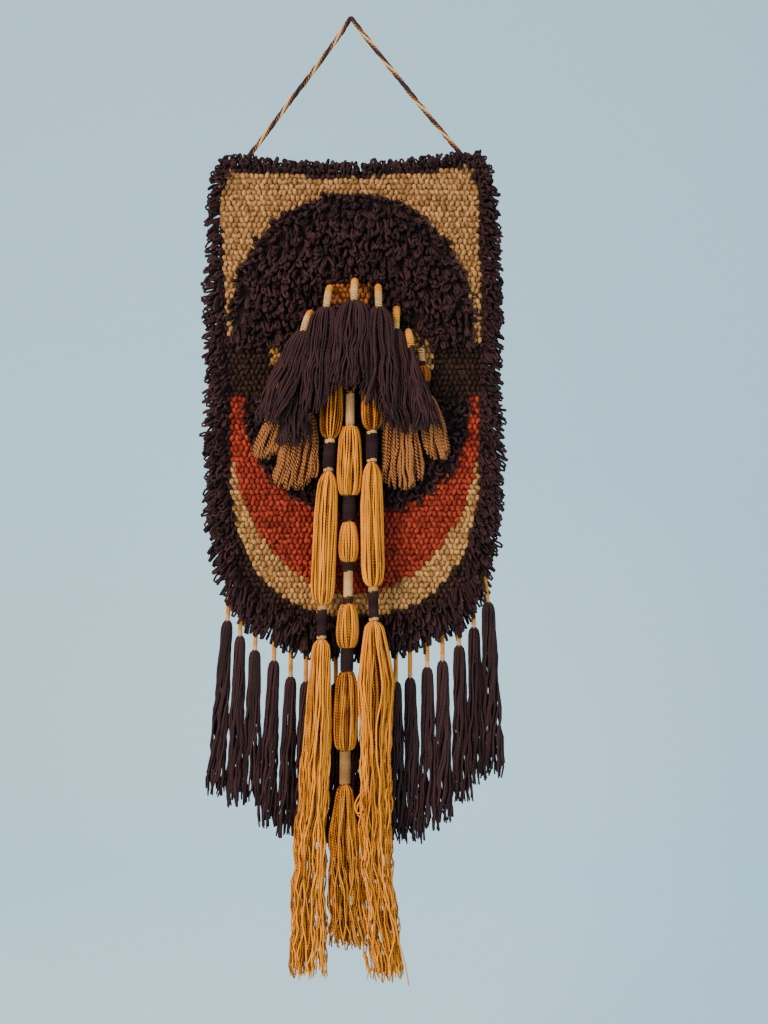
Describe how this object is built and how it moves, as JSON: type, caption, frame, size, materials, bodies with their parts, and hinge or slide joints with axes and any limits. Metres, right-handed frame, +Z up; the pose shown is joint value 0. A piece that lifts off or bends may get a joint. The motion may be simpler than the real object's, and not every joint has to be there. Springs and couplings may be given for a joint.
{
  "type": "wall tapestry",
  "caption": "Hooked and looped wool wall hanging with a shag rim, an arch of tassels, bound hanks and a tasselled lower edge, hung from a twisted cord.",
  "frame": {"origin": "on the wall plane, at the point where the hanging cord rests on its nail", "axes": "+Z up, +Y into the wall, so that the front faces -Y, and +X to the right of someone who faces it"},
  "size_m": [0.3206, 0.0556, 1.0038],
  "materials": {
    "panel_pile": "matt",
    "brown_yarn": "matt",
    "gold_yarn": "matt",
    "tan_yarn": "matt",
    "cream_yarn": "matt",
    "cord_yarn": "matt",
    "beige_yarn": "matt",
    "orange_yarn": "matt",
    "ochre_yarn": "matt",
    "rust_yarn": "matt",
    "canvas": "matt"
  },
  "bodies": {
    "root": {"pile_panel": "panel_pile", "hanging_cord": "cord_yarn", "fringe_tassel_01": "brown_yarn", "fringe_tassel_02": "brown_yarn", "fringe_tassel_03": "brown_yarn", "fringe_tassel_04": "brown_yarn", "fringe_tassel_05": "brown_yarn", "fringe_tassel_06": "brown_yarn", "fringe_tassel_07": "brown_yarn", "fringe_tassel_08": "brown_yarn", "fringe_tassel_09": "brown_yarn", "fringe_tassel_10": "brown_yarn", "fringe_tassel_11": "brown_yarn", "fringe_tassel_12": "brown_yarn", "fringe_tassel_13": "brown_yarn", "fringe_tassel_14": "brown_yarn", "fringe_tassel_15": "brown_yarn", "fringe_tassel_16": "brown_yarn", "fringe_tassel_17": "brown_yarn", "fringe_tassel_18": "brown_yarn", "arch_tassel_1": "brown_yarn", "arch_tassel_2": "brown_yarn", "arch_tassel_3": "brown_yarn", "arch_tassel_4": "brown_yarn", "arch_tassel_5": "brown_yarn", "arch_tassel_6": "brown_yarn", "arch_tassel_7": "brown_yarn", "tan_tassel_1": "tan_yarn", "tan_tassel_2": "tan_yarn", "tan_tassel_3": "tan_yarn", "tan_tassel_4": "tan_yarn", "hank_left": "gold_yarn", "hank_centre": "gold_yarn", "hank_right": "gold_yarn", "binding_left_1_cream": "cream_yarn", "binding_left_2_brown": "brown_yarn", "binding_left_3_cream": "cream_yarn", "binding_left_4_cream": "cream_yarn", "binding_left_5_brown": "brown_yarn", "binding_left_6_cream": "cream_yarn", "binding_centre_1_cream": "cream_yarn", "binding_centre_2_brown": "brown_yarn", "binding_centre_3_brown": "brown_yarn", "binding_centre_4_cream": "cream_yarn", "binding_centre_5_brown": "brown_yarn", "binding_centre_6_brown": "brown_yarn", "binding_centre_7_cream": "cream_yarn", "binding_right_1_cream": "cream_yarn", "binding_right_2_brown": "brown_yarn", "binding_right_3_cream": "cream_yarn", "binding_right_4_cream": "cream_yarn", "binding_right_5_brown": "brown_yarn", "binding_right_6_cream": "cream_yarn"}
  },
  "joints": []
}
